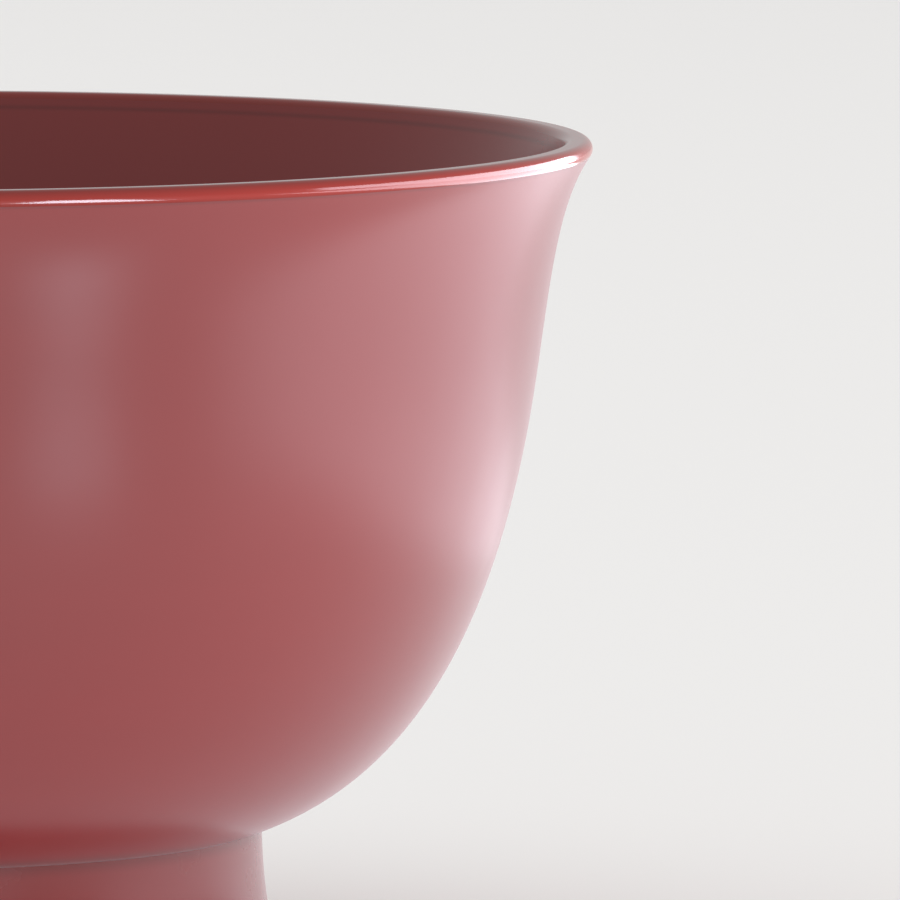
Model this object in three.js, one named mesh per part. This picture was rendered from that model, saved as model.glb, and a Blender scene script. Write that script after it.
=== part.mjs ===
// A red lacquered wooden bowl with a flared rim and a high foot.
//
// Everything is turned on one vertical axis, so each piece is a lathe of its own
// closed outline in (radius, height). Millimetres, +Z up, origin at the middle of
// the ring that the bowl stands on.
//
// The bowl is built the way lacquered woodware is: a turned cup with a spigot, a
// turned foot ring glued onto it, hemp cloth over the rim, the floor and the foot's
// edge, then lacquer coats. Neighbouring pieces share the same outline points and
// the same number of steps round the axis, so they meet face to face.

import * as THREE from 'three';

// Driving dimensions
const RIM_RADIUS = 60;
const TOTAL_HEIGHT = 74;
const FOOT_HEIGHT = 14.6;
const FOOT_TOP_RADIUS = 31.5;
const FOOT_EDGE_RADIUS = 33.6;
const FOOT_WALL = 4.2;
const FLOOR_HEIGHT = 16.2;
const BASE_THICKNESS = 4.6;
const LIP_WIDTH = 2.5;

// Where the wall is nearly upright, the outline passes this far in and down from
// the rim bead's middle, leaning this way
const WAIST_INSET = 5.84;
const WAIST_DROP = 25.6;
const WAIST_DIRECTION = new THREE.Vector2(-0.199, -0.98);
const WAIST_WALL = 3;

// Layers
const COAT = 0.45;
const CLOTH = 0.25;
const GLUE = 0.3;
const BACKING = COAT + CLOTH;

// Rim bead, foot edge and well
const BEAD_RADIUS = 0.84;
const BEAD_CREASE_ANGLE = -0.64;
const BEAD_LIP_ANGLE = Math.PI - 0.32;
const EDGE_ROUND = 0.8;
const EDGE_TILT = 0.3;
const WELL_TAPER = 1.6;
const WELL_FILLET = 1.2;
const SPIGOT_RADIUS = 26.6;
const FOOT_CLOTH_LEG = 5;

// Steps round the axis and along the outlines, and how many of them the cloth covers
const STEPS_ROUND = 40;
const STEPS_FLARE = 4;
const STEPS_BELLY = 6;
const STEPS_ARC = 3;
const RIM_CLOTH_STEPS = 2;
const FLOOR_CLOTH_STEPS = 2;
const FOOT_CLOTH_STEPS = 1;

// Places worked out from the dimensions above
const BEAD_HEIGHT = TOTAL_HEIGHT - BEAD_RADIUS;
const CLOTH_TOP = TOTAL_HEIGHT - COAT;
const CORE_TOP = TOTAL_HEIGHT - BACKING;
const WELL_CEILING = FLOOR_HEIGHT - BASE_THICKNESS;
const SPIGOT_END = WELL_CEILING + COAT;
const CUP_UNDERSIDE = FOOT_HEIGHT + GLUE;
const WELL_EDGE_RADIUS = FOOT_EDGE_RADIUS - FOOT_WALL;

const point = (radius, height) => new THREE.Vector2(radius, height);

const OUTER_BEAD_MIDDLE = point(RIM_RADIUS - BEAD_RADIUS, BEAD_HEIGHT);
const INNER_BEAD_MIDDLE = point(RIM_RADIUS - LIP_WIDTH + BEAD_RADIUS, BEAD_HEIGHT);

// Points on a circle from one angle to another, both ends included.
function arc(centre, radius, from, to) {
  const points = [];
  for (let i = 0; i <= STEPS_ARC; i += 1) {
    const angle = from + ((to - from) * i) / STEPS_ARC;
    points.push(point(centre.x + radius * Math.cos(angle), centre.y + radius * Math.sin(angle)));
  }
  return points;
}

// Stations along a chain of curves, each with the unit normal on its left.
function sample(...stretches) {
  const stations = [];
  stretches.forEach(([curve, steps], index) => {
    for (let i = index === 0 ? 0 : 1; i <= steps; i += 1) {
      const tangent = curve.getTangent(i / steps);
      stations.push({ at: curve.getPoint(i / steps), normal: point(-tangent.y, tangent.x) });
    }
  });
  return stations;
}

// The stations' points, moved along their normals.
function line(stations, distance = 0) {
  return stations.map(({ at, normal }) => at.clone().addScaledVector(normal, distance));
}

const upwards = (points) => [...points].reverse();

// Outlines, all running downwards -------------------------------------------

// The wall's outside, from the crease under the rim bead down to the foot. The flare
// leaves the bead steeply and the belly turns in to meet the foot at a crease.
function wallOutside() {
  const crease = arc(OUTER_BEAD_MIDDLE, BEAD_RADIUS, BEAD_CREASE_ANGLE, 0)[0];
  const waist = point(RIM_RADIUS - WAIST_INSET, BEAD_HEIGHT - WAIST_DROP);
  const flare = new THREE.CubicBezierCurve(
    crease,
    point(crease.x - 3.6, crease.y - 5.2),
    waist.clone().addScaledVector(WAIST_DIRECTION, -10),
    waist,
  );
  const belly = new THREE.CubicBezierCurve(
    waist,
    waist.clone().addScaledVector(WAIST_DIRECTION, 12.7),
    point(FOOT_TOP_RADIUS + 14.7, FOOT_HEIGHT + 4.7),
    point(FOOT_TOP_RADIUS, FOOT_HEIGHT),
  );
  return sample([flare, STEPS_FLARE], [belly, STEPS_BELLY]);
}

// The wall's inside, from the lip down to the middle of the floor. It leaves the bead
// without a crease, runs beside the outside and leaves more wood low down, where the
// cup meets the foot.
function wallInside() {
  const lip = arc(INNER_BEAD_MIDDLE, BEAD_RADIUS, 0, BEAD_LIP_ANGLE)[STEPS_ARC];
  const lipDirection = point(-Math.sin(BEAD_LIP_ANGLE), Math.cos(BEAD_LIP_ANGLE));
  const waist = point(RIM_RADIUS - WAIST_INSET - WAIST_WALL, BEAD_HEIGHT - WAIST_DROP + 0.6);
  const flare = new THREE.CubicBezierCurve(
    lip,
    lip.clone().addScaledVector(lipDirection, 6.7),
    waist.clone().addScaledVector(WAIST_DIRECTION, -10),
    waist,
  );
  const bottom = new THREE.CubicBezierCurve(
    waist,
    waist.clone().addScaledVector(WAIST_DIRECTION, 13),
    point(FOOT_TOP_RADIUS + 13.5, FLOOR_HEIGHT),
    point(0, FLOOR_HEIGHT),
  );
  return sample([flare, STEPS_FLARE], [bottom, STEPS_BELLY + 1]);
}

// The foot's outside, upright at the crease and flaring to the rounding at its edge.
function footOutside() {
  const edge = point(
    FOOT_EDGE_RADIUS - EDGE_ROUND * (1 - Math.cos(EDGE_TILT)),
    EDGE_ROUND * (1 + Math.sin(EDGE_TILT)),
  );
  const bend = edge.y + (edge.x - FOOT_TOP_RADIUS) / Math.tan(EDGE_TILT);
  const side = new THREE.QuadraticBezierCurve(
    point(FOOT_TOP_RADIUS, FOOT_HEIGHT),
    point(FOOT_TOP_RADIUS, bend),
    edge,
  );
  return sample([side, STEPS_ARC]);
}

// A point this far inside the wall of the well under the foot, which tapers upwards.
function wellPoint(height, depth) {
  const slope = WELL_TAPER / (WELL_CEILING - WELL_FILLET - EDGE_ROUND);
  return point(WELL_EDGE_RADIUS - slope * (height - EDGE_ROUND) + depth, height);
}

// The foot's edge this far under its surface, from the well side to the outside.
function footEdge(depth) {
  const wellMiddle = point(WELL_EDGE_RADIUS + EDGE_ROUND, EDGE_ROUND);
  const outerMiddle = point(FOOT_EDGE_RADIUS - EDGE_ROUND, EDGE_ROUND);
  const radius = EDGE_ROUND - depth;
  return [
    ...arc(wellMiddle, radius, Math.PI, 1.5 * Math.PI),
    ...arc(outerMiddle, radius, -0.5 * Math.PI, EDGE_TILT),
  ];
}

const outside = wallOutside();
const inside = wallInside();
const footSide = footOutside();

const outerUnderCoat = line(outside, -COAT);
const outerUnderCloth = line(outside, -BACKING);
const innerUnderCoat = line(inside, COAT);
const innerUnderCloth = line(inside, BACKING);
const footUnderCoat = line(footSide, -COAT);
const footUnderCloth = line(footSide, -BACKING);

// Pieces, each outline running anticlockwise --------------------------------

function bowlCore() {
  const rimSteps = RIM_CLOTH_STEPS;
  const floorFrom = inside.length - 1 - FLOOR_CLOTH_STEPS;
  return [
    point(0, SPIGOT_END),
    point(SPIGOT_RADIUS, SPIGOT_END),
    point(SPIGOT_RADIUS, CUP_UNDERSIDE),
    point(footUnderCoat[0].x, CUP_UNDERSIDE),
    ...upwards(outerUnderCoat.slice(rimSteps)),
    ...upwards(outerUnderCloth.slice(0, rimSteps + 1)),
    point(outerUnderCloth[0].x, CORE_TOP),
    point(innerUnderCloth[0].x, CORE_TOP),
    ...innerUnderCloth.slice(0, rimSteps + 1),
    ...innerUnderCoat.slice(rimSteps, floorFrom + 1),
    ...innerUnderCloth.slice(floorFrom),
  ];
}

function footCore() {
  const clothFrom = footSide.length - 1 - FOOT_CLOTH_STEPS;
  return [
    point(SPIGOT_RADIUS + GLUE, FOOT_HEIGHT),
    point(SPIGOT_RADIUS + GLUE, SPIGOT_END),
    wellPoint(SPIGOT_END, COAT),
    wellPoint(FOOT_CLOTH_LEG, COAT),
    wellPoint(FOOT_CLOTH_LEG, BACKING),
    ...footEdge(BACKING),
    ...upwards(footUnderCloth.slice(clothFrom, -1)),
    ...upwards(footUnderCoat.slice(0, clothFrom + 1)),
  ];
}

// The glue lies round the spigot and on top of the foot ring.
function footGlue() {
  return [
    point(SPIGOT_RADIUS, SPIGOT_END),
    point(SPIGOT_RADIUS + GLUE, SPIGOT_END),
    point(SPIGOT_RADIUS + GLUE, FOOT_HEIGHT),
    point(footUnderCoat[0].x, FOOT_HEIGHT),
    point(footUnderCoat[0].x, CUP_UNDERSIDE),
    point(SPIGOT_RADIUS, CUP_UNDERSIDE),
  ];
}

// A band of cloth folded over the rim.
function rimCloth() {
  const covered = RIM_CLOTH_STEPS + 1;
  return [
    ...upwards(outerUnderCoat.slice(0, covered)),
    point(outerUnderCoat[0].x, CLOTH_TOP),
    point(innerUnderCoat[0].x, CLOTH_TOP),
    ...innerUnderCoat.slice(0, covered),
    ...upwards(innerUnderCloth.slice(0, covered)),
    point(innerUnderCloth[0].x, CORE_TOP),
    point(outerUnderCloth[0].x, CORE_TOP),
    ...outerUnderCloth.slice(0, covered),
  ];
}

// A round of cloth on the floor of the cup.
function floorCloth() {
  const covered = -1 - FLOOR_CLOTH_STEPS;
  return [...upwards(innerUnderCloth.slice(covered)), ...innerUnderCoat.slice(covered)];
}

// A band of cloth folded round the foot's edge.
function footCloth() {
  const covered = -1 - FOOT_CLOTH_STEPS;
  return [
    wellPoint(FOOT_CLOTH_LEG, COAT),
    ...footEdge(COAT),
    ...upwards(footUnderCoat.slice(covered, -1)),
    ...footUnderCloth.slice(covered, -1),
    ...upwards(footEdge(BACKING)),
    wellPoint(FOOT_CLOTH_LEG, BACKING),
  ];
}

// The outside coat runs over the edge of the joint, down to the crease.
function outerCoat() {
  return [
    ...upwards(line(outside)),
    ...outerUnderCoat,
    point(footUnderCoat[0].x, CUP_UNDERSIDE),
    point(footUnderCoat[0].x, FOOT_HEIGHT),
  ];
}

function innerCoat() {
  return [...upwards(innerUnderCoat), ...line(inside)];
}

// The bead of lacquer that rounds the lip over the folded cloth.
function rimBead() {
  return [
    ...arc(OUTER_BEAD_MIDDLE, BEAD_RADIUS, BEAD_CREASE_ANGLE, 0),
    ...arc(OUTER_BEAD_MIDDLE, BEAD_RADIUS, 0, Math.PI / 2).slice(1),
    ...arc(INNER_BEAD_MIDDLE, BEAD_RADIUS, Math.PI / 2, BEAD_LIP_ANGLE),
    innerUnderCoat[0],
    point(innerUnderCoat[0].x, CLOTH_TOP),
    point(outerUnderCoat[0].x, CLOTH_TOP),
    outerUnderCoat[0],
  ];
}

// The foot's coat covers its side and the edge that it stands on.
function footCoat() {
  return [
    ...footEdge(0),
    ...upwards(line(footSide).slice(0, -1)),
    ...footUnderCoat.slice(0, -1),
    ...upwards(footEdge(COAT)),
  ];
}

// The coat in the well under the foot.
function wellCoat() {
  const wallTop = wellPoint(WELL_CEILING - WELL_FILLET, 0);
  const filletMiddle = point(wallTop.x - WELL_FILLET, wallTop.y);
  return [
    point(0, WELL_CEILING),
    ...upwards(arc(filletMiddle, WELL_FILLET, 0, Math.PI / 2)),
    wellPoint(EDGE_ROUND, 0),
    wellPoint(EDGE_ROUND, COAT),
    wellPoint(FOOT_CLOTH_LEG, COAT),
    wellPoint(SPIGOT_END, COAT),
    point(0, SPIGOT_END),
  ];
}

// Assembly ------------------------------------------------------------------

const redLacquer = { color: 0xa8383a, roughness: 0.3 };
const bareWood = { color: 0xc79a66, roughness: 0.7 };
const hempCloth = { color: 0x9a8560, roughness: 0.9 };
const darkGlue = { color: 0x3a241a, roughness: 0.6 };

const bowl = new THREE.Group();

// Adds a solid of revolution. An outline that starts off the axis is closed on itself.
function add(name, outline, finish) {
  const profile = outline[0].x > 0 ? [...outline, outline[0].clone()] : outline;
  const geometry = new THREE.LatheGeometry(profile, STEPS_ROUND);
  geometry.rotateX(Math.PI / 2);
  const mesh = new THREE.Mesh(geometry, new THREE.MeshStandardMaterial({ ...finish, metalness: 0 }));
  mesh.name = name;
  bowl.add(mesh);
}

add('bowl_core', bowlCore(), bareWood);
add('foot_core', footCore(), bareWood);
add('foot_glue', footGlue(), darkGlue);
add('rim_cloth', rimCloth(), hempCloth);
add('floor_cloth', floorCloth(), hempCloth);
add('foot_cloth', footCloth(), hempCloth);
add('outer_coat', outerCoat(), redLacquer);
add('inner_coat', innerCoat(), redLacquer);
add('rim_bead', rimBead(), redLacquer);
add('foot_coat', footCoat(), redLacquer);
add('well_coat', wellCoat(), redLacquer);

export default bowl;
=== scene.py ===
"""A red lacquered wooden bowl: fine turned pieces with procedural materials.

Metres, +Z up, in the frame of the CAD. Every piece is a solid of revolution on the Z axis.
"""

import math
from collections import namedtuple

import bpy
import numpy as np
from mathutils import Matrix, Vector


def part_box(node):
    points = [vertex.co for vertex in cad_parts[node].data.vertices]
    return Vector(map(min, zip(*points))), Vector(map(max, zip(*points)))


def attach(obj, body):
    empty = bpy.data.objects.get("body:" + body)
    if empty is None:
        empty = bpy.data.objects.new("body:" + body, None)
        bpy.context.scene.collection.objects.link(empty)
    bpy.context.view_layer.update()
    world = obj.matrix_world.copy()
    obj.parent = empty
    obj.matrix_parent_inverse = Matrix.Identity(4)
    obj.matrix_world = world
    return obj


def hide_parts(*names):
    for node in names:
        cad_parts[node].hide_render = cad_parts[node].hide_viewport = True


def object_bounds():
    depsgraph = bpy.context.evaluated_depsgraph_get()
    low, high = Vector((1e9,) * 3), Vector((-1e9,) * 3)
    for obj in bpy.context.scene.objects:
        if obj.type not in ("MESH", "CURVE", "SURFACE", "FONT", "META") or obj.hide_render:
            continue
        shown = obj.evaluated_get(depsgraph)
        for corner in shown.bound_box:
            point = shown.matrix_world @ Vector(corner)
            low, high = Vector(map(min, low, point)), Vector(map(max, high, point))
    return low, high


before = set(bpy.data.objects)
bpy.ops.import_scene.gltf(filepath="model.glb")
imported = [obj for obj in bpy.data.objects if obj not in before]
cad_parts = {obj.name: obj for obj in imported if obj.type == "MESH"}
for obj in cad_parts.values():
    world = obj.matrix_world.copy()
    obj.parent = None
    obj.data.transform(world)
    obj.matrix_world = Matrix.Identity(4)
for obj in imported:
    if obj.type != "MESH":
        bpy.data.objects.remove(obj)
CAD_LOW, CAD_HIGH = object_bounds()

MM = 0.001

# Sizes taken from the frame
RIM_RADIUS = CAD_HIGH.x
TOTAL_HEIGHT = CAD_HIGH.z
FOOT_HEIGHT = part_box("foot_coat")[1].z
FOOT_EDGE_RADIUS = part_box("foot_coat")[1].x
SPIGOT_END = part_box("foot_glue")[0].z
CUP_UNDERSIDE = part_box("foot_glue")[1].z

# Sizes that the CAD outlines share
FOOT_TOP_RADIUS = 31.5 * MM
FOOT_WALL = 4.2 * MM
FLOOR_HEIGHT = 16.2 * MM
LIP_WIDTH = 2.5 * MM
WAIST_INSET = 5.84 * MM
WAIST_DROP = 25.6 * MM
WAIST_DIRECTION = np.array([-0.199, -0.98])
WAIST_WALL = 3 * MM
COAT = 0.45 * MM
CLOTH = 0.25 * MM
GLUE = 0.3 * MM
BACKING = COAT + CLOTH
BEAD_RADIUS = 0.84 * MM
BEAD_CREASE_ANGLE = -0.64
BEAD_LIP_ANGLE = math.pi - 0.32
EDGE_ROUND = 0.8 * MM
EDGE_TILT = 0.3
WELL_TAPER = 1.6 * MM
WELL_FILLET = 1.2 * MM
SPIGOT_RADIUS = 26.6 * MM
FOOT_CLOTH_LEG = 5 * MM

# Handles of the curves that make the outlines
FLARE_HANDLE = np.array([-3.6, -5.2]) * MM
WAIST_HANDLE = 10 * MM
BELLY_HANDLE = 12.7 * MM
BELLY_PULL = np.array([14.7, 4.7]) * MM
LIP_HANDLE = 6.7 * MM
INSIDE_WAIST_RISE = 0.6 * MM
INSIDE_HANDLE = 13 * MM
INSIDE_PULL = 13.5 * MM

# Places worked out from the sizes above
BEAD_HEIGHT = TOTAL_HEIGHT - BEAD_RADIUS
OUTER_BEAD_MIDDLE = np.array([RIM_RADIUS - BEAD_RADIUS, BEAD_HEIGHT])
INNER_BEAD_MIDDLE = np.array([RIM_RADIUS - LIP_WIDTH + BEAD_RADIUS, BEAD_HEIGHT])
CLOTH_TOP = TOTAL_HEIGHT - COAT
CORE_TOP = TOTAL_HEIGHT - BACKING
WELL_CEILING = SPIGOT_END - COAT
WELL_EDGE_RADIUS = FOOT_EDGE_RADIUS - FOOT_WALL

# Steps round the axis and along the outlines
STEPS_ROUND = 320
STEPS_FLARE = 28
STEPS_BELLY = 36
STEPS_BOTTOM = 48
STEPS_ARC = 8
STEPS_BEAD = 16
RIM_CLOTH_STEPS = 14
FLOOR_CLOTH_STEPS = 12
FOOT_CLOTH_STEPS = 8

# Where a mesh has a hard edge, and what counts as on the axis
HARD_EDGE = math.radians(28)
ON_AXIS = 1e-9

# Painted shade in the creases: the heights of the creases, and how far the darkening reaches from
# them
BEAD_CREASE = BEAD_HEIGHT + BEAD_RADIUS * math.sin(BEAD_CREASE_ANGLE)
CREASES = [(BEAD_CREASE, 0.35 * MM), (FOOT_HEIGHT, 1.2 * MM)]
CREASE_SHADE_SHARE = 0.55
CREASE_SHADE_DARKNESS = 0.55

# What noise mostly stays within. Each noise below is features in a metre, then detail.
NOISE_RANGE = (0.3, 0.7)

# Lacquer
CLOUDS = (30, 3)
CLOUD_SHADES = (0.92, 1.08)
BRUSH_MARKS = (320, 3)
BRUSH_SHADE = 0.96
BRUSH_METRES_PER_RADIAN = 0.004
BRUSH_DEPTH = 0.004 * MM
BRUSH_STRENGTH = 0.3
SATIN = (150, 4)
SATIN_SPREAD = 0.2
PEEL = (420, 2)
PEEL_DEPTH = 0.02 * MM
PEEL_STRENGTH = 0.12
HAZE_ROUGHNESS = 0.35
HAZE_TINT = (1, 0.93, 0.97, 1)

# Wood
GRAIN_STRETCH = (1, 0.12, 1)
GROWTH_BANDS = {"Scale": 70, "Distortion": 5, "Detail": 3, "Detail Scale": 0.6}
FIBRES = (2600, 2)
GROWTH_RANGE = (0.1, 0.9)
PORE_RANGE = (0.3, 0.5)
PORE_SHARE = 0.45
WOOD_ROUGHNESS = (0.72, 0.6)
FIBRE_DEPTH = 0.04 * MM
FIBRE_STRENGTH = 0.4
TOOL_STEP = 0.7 * MM
TOOL_DEPTH = 0.02 * MM
TOOL_STRENGTH = 0.5

# Hemp and glue
HEMP_THREAD_STEP = 0.8 * MM
HEMP_THREADS_ROUND = 440
HEMP_DEPTH = 0.15 * MM
HEMP_STRENGTH = 0.8
HEMP_ROUGHNESS = (0.85, 0.95)
GAP_RANGE = (0, 0.6)
GAP_SHARE = 0.5
SLUBS = (240, 3)
SLUB_SHARE = 0.3
DUST = (900, 4)
DUST_DEPTH = 0.05 * MM
DUST_STRENGTH = 0.5
GLUE_ROUGHNESS = (0.45, 0.65)

# The sockets that a Mix node uses for colours
MIX_FACTOR, MIX_A, MIX_B = 0, 6, 7
MIX_RESULT = 2

# Colours, linear
RED = (0.235, 0.0205, 0.0195)
INSIDE_RED = (0.26, 0.026, 0.025)
BEAD_RED = (0.25, 0.021, 0.015)
WOOD_LIGHT = (0.56, 0.36, 0.19, 1)
WOOD_DARK = (0.4, 0.23, 0.11, 1)
WOOD_PORE = (0.2, 0.11, 0.05, 1)
HEMP_LIGHT = (0.42, 0.33, 0.2, 1)
HEMP_DARK = (0.28, 0.2, 0.11, 1)
HEMP_GAP = (0.09, 0.055, 0.03, 1)
GLUE_DARK = (0.035, 0.016, 0.01, 1)
GLUE_LIGHT = (0.1, 0.05, 0.03, 1)

# Stage
STAGE_REACH = 3.5
STAGE_COLOUR = (0.82, 0.81, 0.8, 1)
STAGE_ROUGHNESS = 0.6
WORLD_COLOUR = (0.62, 0.62, 0.62, 1)

# Camera
CAMERA_DISTANCE = 1.2
CAMERA_HEIGHT = 161.7 * MM
CAMERA_YAW = math.radians(2.28)
CAMERA_PITCH = math.radians(5.46)
LENS_MM = 559.5
SENSOR_MM = 36
CLIP_NEAR = 0.05
CLIP_FAR = 20

# Lights: pale cards just above the stage, a key, a fill, three for the bead, and one for
# the stage. Azimuths are in degrees to the right of the camera, sizes and places in metres,
# and each light falls only on the pieces or the stage that it names.
Light = namedtuple(
    "Light", "name azimuth distance height facing length width radiance colour pieces"
)
UP, SIDEWAYS, DOWN = math.pi, math.pi / 2, 0
BLUISH = (0.76, 0.87, 1)
PINKISH = (0.98, 0.94, 1.04)
WHITE = (1, 1, 1)
WALL_AND_FOOT = ["wall_lacquer", "foot_lacquer"]
BEAD = ["bead_lacquer"]
STAGE = ["floor"]
LIGHTS = [
    Light("card_under", 0, 0, 0, UP, 1.2, 1.2, 0.43, PINKISH, WALL_AND_FOOT),
    Light("card_blue", 27, 0.175, 0.002, UP, 0.06, 0.035, 2.6, BLUISH, WALL_AND_FOOT),
    Light("card_right", 100, 0.31, 0.001, UP, 0.34, 0.36, 1.4, PINKISH, WALL_AND_FOOT),
    Light("key", 84, 0.6, 0.2, SIDEWAYS, 0.36, 0.4, 1.4, PINKISH, WALL_AND_FOOT),
    Light("fill", 50, 0.1, 0.045, SIDEWAYS, 0.06, 0.02, 1.9, PINKISH, WALL_AND_FOOT),
    Light("bead_blue", 28, 0.3, 0, UP, 0.3, 0.06, 20, BLUISH, BEAD),
    Light("bead_right", 114, 0.3, 0, UP, 0.34, 0.4, 5, PINKISH, BEAD),
    Light("bead_back", 108, 0.48, 0.1, SIDEWAYS, 0.2, 0.75, 7, PINKISH, BEAD),
    Light("ceiling", 0, 0, 2.5, DOWN, 5, 5, 0.8, WHITE, STAGE),
]

# Every light is raised by this, so that no card lies in the stage
LIGHT_LIFT = 1 * MM

# The light that doesn't show in reflections
HIDDEN_IN_GLOSS = "fill"


# Camera and stage -----------------------------------------------------------

def make_camera():
    data = bpy.data.cameras.new("camera")
    data.lens = LENS_MM
    data.sensor_width = SENSOR_MM
    data.clip_start = CLIP_NEAR
    data.clip_end = CLIP_FAR
    camera = bpy.data.objects.new("camera", data)
    camera.location = (0, -CAMERA_DISTANCE, CAMERA_HEIGHT)
    camera.rotation_euler = (math.pi / 2 - CAMERA_PITCH, 0, -CAMERA_YAW)
    bpy.context.scene.collection.objects.link(camera)
    bpy.context.scene.camera = camera


def make_world():
    world = bpy.data.worlds.new("studio")
    bpy.context.scene.world = world
    world.use_nodes = True
    world.node_tree.nodes["Background"].inputs["Color"].default_value = WORLD_COLOUR


def make_light(light):
    """An area light that faces up, down or sideways at the axis."""
    data = bpy.data.lights.new(light.name, "AREA")
    data.shape = "RECTANGLE"
    data.size = light.width
    data.size_y = light.length
    data.energy = light.radiance * math.pi * light.length * light.width
    data.color = light.colour
    lamp = bpy.data.objects.new(light.name, data)
    turn = math.radians(light.azimuth)
    lamp.location = (
        light.distance * math.sin(turn),
        -light.distance * math.cos(turn),
        light.height + LIGHT_LIFT,
    )
    lamp.rotation_euler = (light.facing, 0, turn)
    lamp.visible_camera = False
    lamp.visible_glossy = light.name != HIDDEN_IN_GLOSS
    bpy.context.scene.collection.objects.link(lamp)
    lit = bpy.data.collections.new(light.name + "_lights")
    for piece in light.pieces:
        lit.objects.link(bpy.data.objects[piece])
    lamp.light_linking.receiver_collection = lit


def make_floor():
    reach = STAGE_REACH
    corners = [(-reach, -reach, 0), (reach, -reach, 0), (reach, reach, 0), (-reach, reach, 0)]
    mesh = bpy.data.meshes.new("floor")
    mesh.from_pydata(corners, [], [(0, 1, 2, 3)])
    floor = bpy.data.objects.new("floor", mesh)
    bpy.context.scene.collection.objects.link(floor)
    n = Nodes("floor")
    n.shader.inputs["Base Color"].default_value = STAGE_COLOUR
    n.shader.inputs["Roughness"].default_value = STAGE_ROUGHNESS
    floor.data.materials.append(n.material)


# Outlines in (radius, height), all running downwards ------------------------

def at(radius, height):
    return np.array([radius, height])


def arc(centre, radius, start, end, steps=STEPS_ARC):
    """Points on a circle from one angle to another, both ends included."""
    angles = np.linspace(start, end, steps + 1)
    return centre + radius * np.stack([np.cos(angles), np.sin(angles)], 1)


def bezier(controls, steps):
    """Points and tangents along a Bezier curve of any degree."""
    t = np.linspace(0, 1, steps + 1)[:, None]
    points = np.array(controls)
    degree = len(points) - 1
    weights = [math.comb(degree, i) * t**i * (1 - t) ** (degree - i) for i in range(degree + 1)]
    slopes = [
        math.comb(degree - 1, i) * t**i * (1 - t) ** (degree - 1 - i) for i in range(degree)
    ]
    along = sum(w * p for w, p in zip(weights, points))
    tangents = sum(w * d for w, d in zip(slopes, np.diff(points, axis=0)))
    return along, tangents


class Outline:
    """A chain of curves, with the unit normal on the left of each point."""

    def __init__(self, *curves):
        points = [c[0] if i == 0 else c[0][1:] for i, c in enumerate(curves)]
        tangents = [c[1] if i == 0 else c[1][1:] for i, c in enumerate(curves)]
        self.points = np.concatenate(points)
        tangent = np.concatenate(tangents)
        tangent /= np.linalg.norm(tangent, axis=1, keepdims=True)
        self.normals = np.stack([-tangent[:, 1], tangent[:, 0]], 1)

    def moved(self, distance):
        return self.points + self.normals * distance


def wall_outside():
    crease = arc(OUTER_BEAD_MIDDLE, BEAD_RADIUS, BEAD_CREASE_ANGLE, 0)[0]
    waist = at(RIM_RADIUS - WAIST_INSET, BEAD_HEIGHT - WAIST_DROP)
    flare = bezier(
        [crease, crease + FLARE_HANDLE, waist - WAIST_DIRECTION * WAIST_HANDLE, waist],
        STEPS_FLARE,
    )
    belly = bezier(
        [
            waist,
            waist + WAIST_DIRECTION * BELLY_HANDLE,
            at(FOOT_TOP_RADIUS, FOOT_HEIGHT) + BELLY_PULL,
            at(FOOT_TOP_RADIUS, FOOT_HEIGHT),
        ],
        STEPS_BELLY,
    )
    return Outline(flare, belly)


def wall_inside():
    lip = arc(INNER_BEAD_MIDDLE, BEAD_RADIUS, 0, BEAD_LIP_ANGLE)[-1]
    lip_direction = at(-math.sin(BEAD_LIP_ANGLE), math.cos(BEAD_LIP_ANGLE))
    waist = at(
        RIM_RADIUS - WAIST_INSET - WAIST_WALL,
        BEAD_HEIGHT - WAIST_DROP + INSIDE_WAIST_RISE,
    )
    flare = bezier(
        [
            lip,
            lip + lip_direction * LIP_HANDLE,
            waist - WAIST_DIRECTION * WAIST_HANDLE,
            waist,
        ],
        STEPS_FLARE,
    )
    bottom = bezier(
        [
            waist,
            waist + WAIST_DIRECTION * INSIDE_HANDLE,
            at(FOOT_TOP_RADIUS + INSIDE_PULL, FLOOR_HEIGHT),
            at(0, FLOOR_HEIGHT),
        ],
        STEPS_BOTTOM,
    )
    return Outline(flare, bottom)


def foot_outside():
    edge = at(
        FOOT_EDGE_RADIUS - EDGE_ROUND * (1 - math.cos(EDGE_TILT)),
        EDGE_ROUND * (1 + math.sin(EDGE_TILT)),
    )
    bend = edge[1] + (edge[0] - FOOT_TOP_RADIUS) / math.tan(EDGE_TILT)
    controls = [at(FOOT_TOP_RADIUS, FOOT_HEIGHT), at(FOOT_TOP_RADIUS, bend), edge]
    return Outline(bezier(controls, STEPS_FLARE))


def well_point(height, depth):
    """A point this far inside the wall of the well under the foot."""
    slope = WELL_TAPER / (WELL_CEILING - WELL_FILLET - EDGE_ROUND)
    return at(WELL_EDGE_RADIUS - slope * (height - EDGE_ROUND) + depth, height)


def foot_edge(depth):
    """The foot's edge this far under its surface, from the well side to the outside."""
    well_middle = at(WELL_EDGE_RADIUS + EDGE_ROUND, EDGE_ROUND)
    outer_middle = at(FOOT_EDGE_RADIUS - EDGE_ROUND, EDGE_ROUND)
    radius = EDGE_ROUND - depth
    return [
        *arc(well_middle, radius, math.pi, 1.5 * math.pi),
        *arc(outer_middle, radius, -0.5 * math.pi, EDGE_TILT),
    ]


OUTSIDE = wall_outside()
INSIDE = wall_inside()
FOOT_SIDE = foot_outside()

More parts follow.
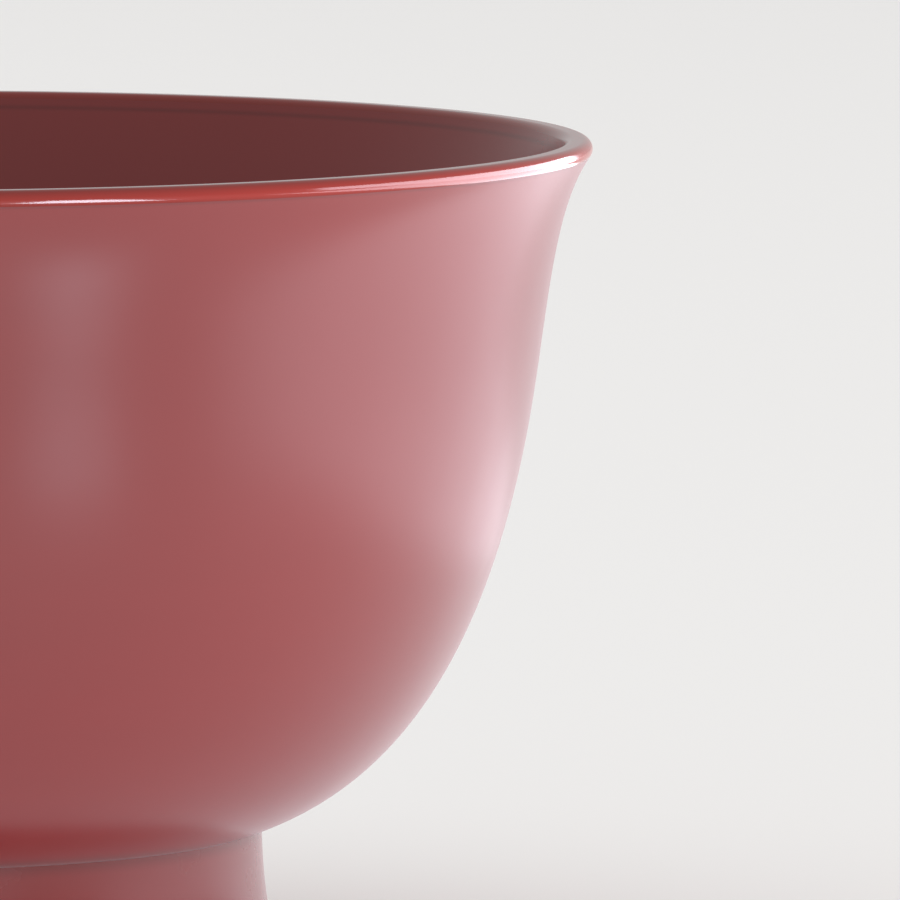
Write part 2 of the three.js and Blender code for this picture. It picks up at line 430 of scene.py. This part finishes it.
OUTER_UNDER_COAT = OUTSIDE.moved(-COAT)
OUTER_UNDER_CLOTH = OUTSIDE.moved(-BACKING)
INNER_UNDER_COAT = INSIDE.moved(COAT)
INNER_UNDER_CLOTH = INSIDE.moved(BACKING)
FOOT_UNDER_COAT = FOOT_SIDE.moved(-COAT)
FOOT_UNDER_CLOTH = FOOT_SIDE.moved(-BACKING)
JOINT_RADIUS = FOOT_UNDER_COAT[0][0]


# Pieces' outlines, all running anticlockwise --------------------------------

def bowl_core():
    rim = RIM_CLOTH_STEPS
    floor = len(INSIDE.points) - 1 - FLOOR_CLOTH_STEPS
    return [
        at(0, SPIGOT_END),
        at(SPIGOT_RADIUS, SPIGOT_END),
        at(SPIGOT_RADIUS, CUP_UNDERSIDE),
        at(JOINT_RADIUS, CUP_UNDERSIDE),
        *OUTER_UNDER_COAT[rim:][::-1],
        *OUTER_UNDER_CLOTH[: rim + 1][::-1],
        at(OUTER_UNDER_CLOTH[0][0], CORE_TOP),
        at(INNER_UNDER_CLOTH[0][0], CORE_TOP),
        *INNER_UNDER_CLOTH[: rim + 1],
        *INNER_UNDER_COAT[rim : floor + 1],
        *INNER_UNDER_CLOTH[floor:],
    ]


def foot_core():
    cloth_from = len(FOOT_SIDE.points) - 1 - FOOT_CLOTH_STEPS
    return [
        at(SPIGOT_RADIUS + GLUE, FOOT_HEIGHT),
        at(SPIGOT_RADIUS + GLUE, SPIGOT_END),
        well_point(SPIGOT_END, COAT),
        well_point(FOOT_CLOTH_LEG, COAT),
        well_point(FOOT_CLOTH_LEG, BACKING),
        *foot_edge(BACKING),
        *FOOT_UNDER_CLOTH[cloth_from:-1][::-1],
        *FOOT_UNDER_COAT[: cloth_from + 1][::-1],
    ]


def foot_glue():
    return [
        at(SPIGOT_RADIUS, SPIGOT_END),
        at(SPIGOT_RADIUS + GLUE, SPIGOT_END),
        at(SPIGOT_RADIUS + GLUE, FOOT_HEIGHT),
        at(JOINT_RADIUS, FOOT_HEIGHT),
        at(JOINT_RADIUS, CUP_UNDERSIDE),
        at(SPIGOT_RADIUS, CUP_UNDERSIDE),
    ]


def rim_cloth():
    covered = RIM_CLOTH_STEPS + 1
    return [
        *OUTER_UNDER_COAT[:covered][::-1],
        at(OUTER_UNDER_COAT[0][0], CLOTH_TOP),
        at(INNER_UNDER_COAT[0][0], CLOTH_TOP),
        *INNER_UNDER_COAT[:covered],
        *INNER_UNDER_CLOTH[:covered][::-1],
        at(INNER_UNDER_CLOTH[0][0], CORE_TOP),
        at(OUTER_UNDER_CLOTH[0][0], CORE_TOP),
        *OUTER_UNDER_CLOTH[:covered],
    ]


def floor_cloth():
    covered = -1 - FLOOR_CLOTH_STEPS
    return [*INNER_UNDER_CLOTH[covered:][::-1], *INNER_UNDER_COAT[covered:]]


def foot_cloth():
    covered = -1 - FOOT_CLOTH_STEPS
    return [
        well_point(FOOT_CLOTH_LEG, COAT),
        *foot_edge(COAT),
        *FOOT_UNDER_COAT[covered:-1][::-1],
        *FOOT_UNDER_CLOTH[covered:-1],
        *foot_edge(BACKING)[::-1],
        well_point(FOOT_CLOTH_LEG, BACKING),
    ]


def outer_coat():
    return [
        *OUTSIDE.points[::-1],
        *OUTER_UNDER_COAT,
        at(JOINT_RADIUS, CUP_UNDERSIDE),
        at(JOINT_RADIUS, FOOT_HEIGHT),
    ]


def inner_coat():
    return [*INNER_UNDER_COAT[::-1], *INSIDE.points]


def rim_bead():
    return [
        *arc(OUTER_BEAD_MIDDLE, BEAD_RADIUS, BEAD_CREASE_ANGLE, 0, STEPS_BEAD),
        *arc(OUTER_BEAD_MIDDLE, BEAD_RADIUS, 0, math.pi / 2, STEPS_BEAD)[1:],
        *arc(INNER_BEAD_MIDDLE, BEAD_RADIUS, math.pi / 2, BEAD_LIP_ANGLE, STEPS_BEAD),
        INNER_UNDER_COAT[0],
        at(INNER_UNDER_COAT[0][0], CLOTH_TOP),
        at(OUTER_UNDER_COAT[0][0], CLOTH_TOP),
        OUTER_UNDER_COAT[0],
    ]


def foot_coat():
    return [
        *foot_edge(0),
        *FOOT_SIDE.points[:-1][::-1],
        *FOOT_UNDER_COAT[:-1],
        *foot_edge(COAT)[::-1],
    ]


def well_coat():
    wall_top = well_point(WELL_CEILING - WELL_FILLET, 0)
    fillet_middle = wall_top - at(WELL_FILLET, 0)
    return [
        at(0, WELL_CEILING),
        *arc(fillet_middle, WELL_FILLET, math.pi / 2, 0),
        well_point(EDGE_ROUND, 0),
        well_point(EDGE_ROUND, COAT),
        well_point(FOOT_CLOTH_LEG, COAT),
        well_point(SPIGOT_END, COAT),
        at(0, SPIGOT_END),
    ]


# Turning an outline into a mesh ---------------------------------------------

def rings(outline, on_axis):
    """The vertices of an outline turned about Z, and the row of them at each of its points."""
    vertices = []
    rows = []
    angles = np.linspace(0, 2 * math.pi, STEPS_ROUND, endpoint=False)
    for (radius, height), single in zip(outline, on_axis):
        first = len(vertices)
        if single:
            vertices.append((0, 0, height))
            rows.append([first] * STEPS_ROUND)
        else:
            vertices.extend(
                (radius * math.cos(angle), radius * math.sin(angle), height) for angle in angles
            )
            rows.append(range(first, first + STEPS_ROUND))
    return vertices, rows


def bands(rows, closed):
    """Faces from each row to the next, and from the last to the first if closed.
    On the axis two corners of a face are one vertex, and the face is a triangle."""
    faces = []
    for i in range(len(rows) if closed else len(rows) - 1):
        low, high = rows[i], rows[(i + 1) % len(rows)]
        for j in range(STEPS_ROUND):
            k = (j + 1) % STEPS_ROUND
            corners = [low[j], low[k], high[k], high[j]]
            faces.append(list(dict.fromkeys(corners)))
    return faces


def turned(name, outline):
    """A closed solid of revolution about Z from an outline that runs anticlockwise.
    An outline that starts on the axis ends on it; any other is closed on itself."""
    outline = np.array(outline)
    on_axis = outline[:, 0] < ON_AXIS
    vertices, rows = rings(outline, on_axis)
    mesh = bpy.data.meshes.new(name)
    mesh.from_pydata(vertices, [], bands(rows, closed=not on_axis[0]))
    mesh.shade_smooth()
    mesh.set_sharp_from_angle(angle=HARD_EDGE)
    mesh.update()
    piece = bpy.data.objects.new(name, mesh)
    bpy.context.scene.collection.objects.link(piece)
    return piece


# Procedural materials -------------------------------------------------------

class Nodes:
    """A small helper for building one material's node tree."""

    def __init__(self, name):
        self.material = bpy.data.materials.new(name)
        self.material.use_nodes = True
        self.tree = self.material.node_tree
        self.shader = self.tree.nodes["Principled BSDF"]
        self.place = self.tree.nodes.new("ShaderNodeTexCoord").outputs["Object"]

    def link(self, source, target):
        self.tree.links.new(source, target)

    def node(self, kind, inputs, **settings):
        """A new node. Each input is a value, or another node's output to link to."""
        made = self.tree.nodes.new("ShaderNode" + kind)
        for key, value in settings.items():
            setattr(made, key, value)
        for key, value in inputs.items():
            if isinstance(value, bpy.types.NodeSocket):
                self.link(value, made.inputs[key])
            else:
                made.inputs[key].default_value = value
        return made

    def math(self, operation, a, b=0.0):
        return self.node("Math", {0: a, 1: b}, operation=operation).outputs[0]

    def noise(self, scale, detail, vector=None):
        """Noise from 0 to 1 with this many features in a metre."""
        inputs = {"Vector": vector or self.place, "Scale": scale, "Detail": detail}
        return self.node("TexNoise", inputs).outputs["Fac"]

    def spread(self, value, wanted, given=NOISE_RANGE):
        """value moved from the given range to the wanted one, with smooth ends."""
        inputs = {"Value": value, "From Min": given[0], "From Max": given[1]}
        inputs.update({"To Min": wanted[0], "To Max": wanted[1]})
        return self.node("MapRange", inputs, interpolation_type="SMOOTHSTEP").outputs[0]

    def mix(self, factor, a, b):
        """Colour a where factor is 0 and colour b where it is 1."""
        inputs = {MIX_FACTOR: factor, MIX_A: a, MIX_B: b}
        made = self.node("Mix", inputs, data_type="RGBA", clamp_factor=True)
        return made.outputs[MIX_RESULT]

    def bump(self, height, distance, strength, normal=None):
        inputs = {"Height": height, "Distance": distance, "Strength": strength}
        if normal:
            inputs["Normal"] = normal
        return self.node("Bump", inputs).outputs["Normal"]

    def axis(self):
        """Height above the ground, angle round the axis and distance from it."""
        parts = self.node("SeparateXYZ", {0: self.place}).outputs
        angle = self.math("ARCTAN2", parts[1], parts[0])
        squares = [self.math("MULTIPLY", part, part) for part in parts[:2]]
        distance = self.math("SQRT", self.math("ADD", *squares))
        return parts[2], angle, distance


def scaled(colour, factor):
    """A colour made darker or lighter, with alpha 1."""
    return (*(part * factor for part in colour), 1)


def crease_shade(n, height):
    """1 in the creases under the bead and at the foot's top, where shade is painted into the
    colour, and 0 away from them."""
    near = 0
    for crease, reach in CREASES:
        gap = n.math("ABSOLUTE", n.math("SUBTRACT", height, crease))
        near = n.math("MAXIMUM", near, n.spread(gap, (1, 0), (0, reach)))
    return near


def brush_marks(n, height, angle, distance):
    """Faint marks that run round the bowl."""
    place = {0: n.math("MULTIPLY", angle, BRUSH_METRES_PER_RADIAN), 1: distance, 2: height}
    return n.noise(*BRUSH_MARKS, n.node("CombineXYZ", place).outputs[0])


def lacquer_colour(n, red, marks, height):
    """The red with slight clouds and marks, and painted shade near the creases."""
    colour = n.mix(n.noise(*CLOUDS), *(scaled(red, shade) for shade in CLOUD_SHADES))
    colour = n.mix(marks, colour, scaled(red, BRUSH_SHADE))
    # Painted shade: the red is darkened near the crease under the bead and at the foot's top
    painted_shade = n.math("MULTIPLY", crease_shade(n, height), CREASE_SHADE_SHARE)
    return n.mix(painted_shade, colour, scaled(red, CREASE_SHADE_DARKNESS))


def satin(n, roughness):
    """An uneven roughness around the one given."""
    steady = (1 - SATIN_SPREAD / 2) / SATIN_SPREAD
    uneven = n.math("ADD", n.noise(*SATIN), steady)
    return n.math("MULTIPLY", uneven, roughness * SATIN_SPREAD)


def lacquer(name, red, roughness, gloss_ior, haze):
    """Satin lacquer with marks round the bowl, a faint orange peel and a haze at grazing angles."""
    n = Nodes(name)
    height, angle, distance = n.axis()
    marks = brush_marks(n, height, angle, distance)
    n.link(lacquer_colour(n, red, marks, height), n.shader.inputs["Base Color"])
    n.link(satin(n, roughness), n.shader.inputs["Roughness"])
    n.shader.inputs["IOR"].default_value = gloss_ior
    n.shader.inputs["Sheen Weight"].default_value = haze
    n.shader.inputs["Sheen Roughness"].default_value = HAZE_ROUGHNESS
    n.shader.inputs["Sheen Tint"].default_value = HAZE_TINT
    peel = n.bump(n.noise(*PEEL), PEEL_DEPTH, PEEL_STRENGTH)
    n.link(n.bump(marks, BRUSH_DEPTH, BRUSH_STRENGTH, peel), n.shader.inputs["Normal"])
    return n.material


def turned_wood(name):
    """Pale wood with growth bands through the blank, pores, and rings left by the lathe tool."""
    n = Nodes(name)
    height, _, distance = n.axis()
    stretched = n.node("Mapping", {"Vector": n.place, "Scale": GRAIN_STRETCH}).outputs[0]
    waves = {"Vector": stretched, **GROWTH_BANDS}
    growth = n.node("TexWave", waves, wave_type="RINGS", rings_direction="Y").outputs["Fac"]
    fibres = n.noise(*FIBRES, stretched)
    colour = n.mix(n.spread(growth, (0, 1), GROWTH_RANGE), WOOD_LIGHT, WOOD_DARK)
    colour = n.mix(n.spread(fibres, (PORE_SHARE, 0), PORE_RANGE), colour, WOOD_PORE)
    n.link(colour, n.shader.inputs["Base Color"])
    n.link(n.spread(fibres, WOOD_ROUGHNESS), n.shader.inputs["Roughness"])
    along = n.math("ADD", distance, height)
    grooves = n.math("SINE", n.math("MULTIPLY", along, 2 * math.pi / TOOL_STEP))
    tooled = n.bump(grooves, TOOL_DEPTH, TOOL_STRENGTH)
    n.link(n.bump(fibres, FIBRE_DEPTH, FIBRE_STRENGTH, tooled), n.shader.inputs["Normal"])
    return n.material


def hemp_cloth(name):
    """Coarse plain weave, laid by angle round the bowl and by distance along its outline."""
    n = Nodes(name)
    height, angle, distance = n.axis()
    across = n.math("MULTIPLY", angle, HEMP_THREADS_ROUND / 2)
    along = n.math("MULTIPLY", n.math("ADD", distance, height), math.pi / HEMP_THREAD_STEP)
    warp = n.math("SINE", across)
    weft = n.math("SINE", along)
    over = n.math("MULTIPLY", n.math("ADD", n.math("MULTIPLY", warp, weft), 1), 0.5)
    slubs = n.noise(*SLUBS)
    colour = n.mix(n.spread(slubs, (0, 1)), HEMP_DARK, HEMP_LIGHT)
    colour = n.mix(n.spread(over, (GAP_SHARE, 0), GAP_RANGE), colour, HEMP_GAP)
    n.link(colour, n.shader.inputs["Base Color"])
    n.link(n.spread(slubs, HEMP_ROUGHNESS), n.shader.inputs["Roughness"])
    threads = n.math("ADD", over, n.math("MULTIPLY", slubs, SLUB_SHARE))
    n.link(n.bump(threads, HEMP_DEPTH, HEMP_STRENGTH), n.shader.inputs["Normal"])
    return n.material


def joint_glue(name):
    """Dark lacquer glue with wood dust in it."""
    n = Nodes(name)
    dust = n.noise(*DUST)
    colour = n.mix(n.spread(dust, (0, 1)), GLUE_DARK, GLUE_LIGHT)
    n.link(colour, n.shader.inputs["Base Color"])
    n.link(n.spread(dust, GLUE_ROUGHNESS), n.shader.inputs["Roughness"])
    n.link(n.bump(dust, DUST_DEPTH, DUST_STRENGTH), n.shader.inputs["Normal"])
    return n.material


MATERIALS = {
    "wood": turned_wood("turned_wood"),
    "hemp": hemp_cloth("hemp_cloth"),
    "glue": joint_glue("lacquer_glue"),
    "wall": lacquer("wall_lacquer", RED, roughness=0.29, gloss_ior=1.62, haze=0.24),
    "inside": lacquer("inside_lacquer", INSIDE_RED, roughness=0.22, gloss_ior=1.5, haze=0.06),
    "bead": lacquer("bead_lacquer", BEAD_RED, roughness=0.13, gloss_ior=1.5, haze=0),
    "foot": lacquer("foot_lacquer", RED, roughness=0.27, gloss_ior=1.55, haze=0.1),
}

# Each piece: its name, the CAD node it replaces, its outline, its material and its slot
PIECES = [
    ("cup_wood", "bowl_core", bowl_core, "wood", "turned_wood"),
    ("foot_wood", "foot_core", foot_core, "wood", "turned_wood"),
    ("joint_glue", "foot_glue", foot_glue, "glue", "glue"),
    ("rim_hemp", "rim_cloth", rim_cloth, "hemp", "hemp_cloth"),
    ("floor_hemp", "floor_cloth", floor_cloth, "hemp", "hemp_cloth"),
    ("foot_hemp", "foot_cloth", foot_cloth, "hemp", "hemp_cloth"),
    ("wall_lacquer", "outer_coat", outer_coat, "wall", "wall_lacquer"),
    ("inside_lacquer", "inner_coat", inner_coat, "inside", "inside_lacquer"),
    ("bead_lacquer", "rim_bead", rim_bead, "bead", "bead_lacquer"),
    ("foot_lacquer", "foot_coat", foot_coat, "foot", "foot_lacquer"),
    ("well_lacquer", "well_coat", well_coat, "foot", "foot_lacquer"),
]


def make_pieces():
    for name, node, outline, material, slot in PIECES:
        piece = turned(name, outline())
        piece.data.materials.append(MATERIALS[material])
        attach(piece, "root")
        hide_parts(node)


make_camera()
make_world()
make_floor()
make_pieces()
for light in LIGHTS:
    make_light(light)
bpy.context.scene.view_settings.view_transform = "Standard"
